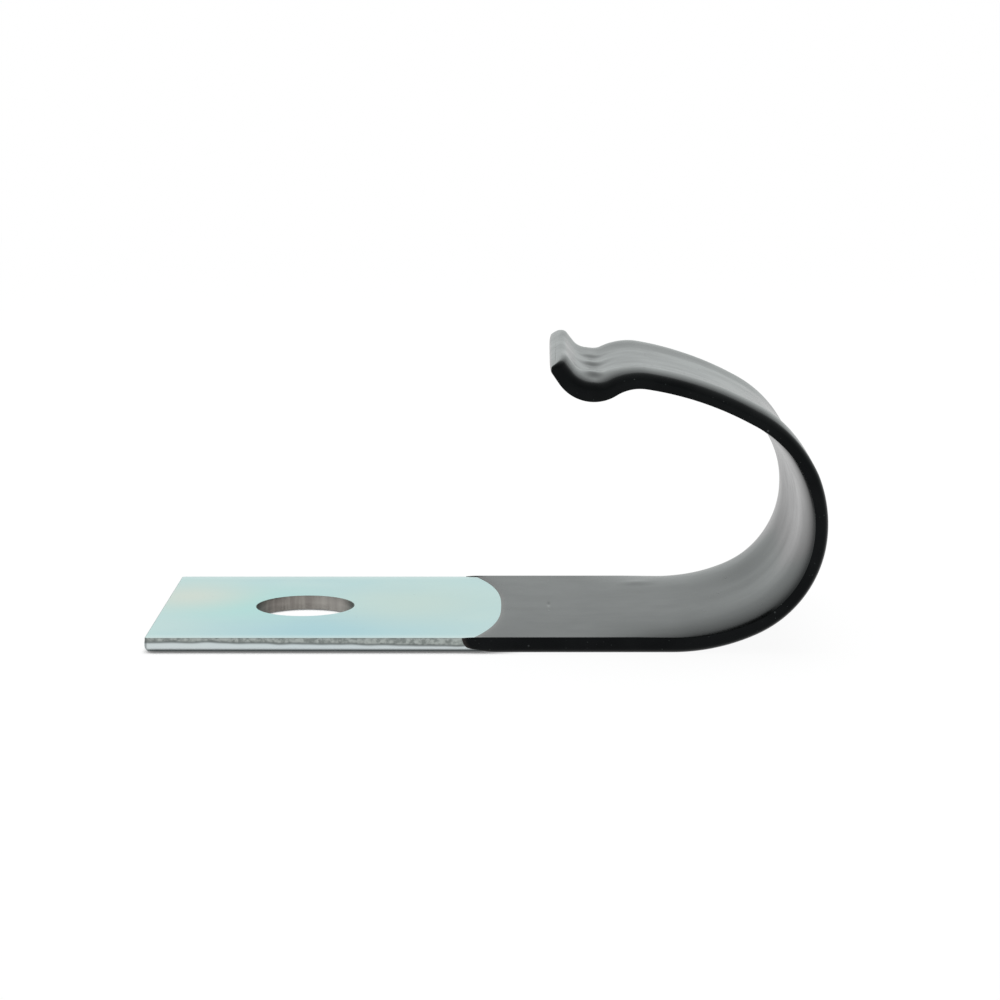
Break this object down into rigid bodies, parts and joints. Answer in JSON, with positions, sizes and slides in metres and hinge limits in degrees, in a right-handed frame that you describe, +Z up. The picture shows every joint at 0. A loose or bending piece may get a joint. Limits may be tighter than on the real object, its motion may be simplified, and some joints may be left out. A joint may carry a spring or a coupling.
{
  "type": "wiring harness clip",
  "caption": "J-shaped spring clip bent from a plated steel strip, screw hole in its flat base, black vinyl on the hook that cradles a wiring harness.",
  "frame": {"origin": "centre of the screw hole, on the underside of the steel base", "axes": "+X along the base towards the hook, +Z up out of the base to the side that the hook stands on"},
  "size_m": [0.0556, 0.0256, 0.0241],
  "materials": {
    "zinc_plated_steel": "bright zinc plate with a faint blue and yellow tint",
    "black_vinyl": "smooth satin black dip coating"
  },
  "bodies": {
    "root": {"steel_strip": "zinc_plated_steel", "vinyl_coating": "black_vinyl"}
  },
  "joints": []
}
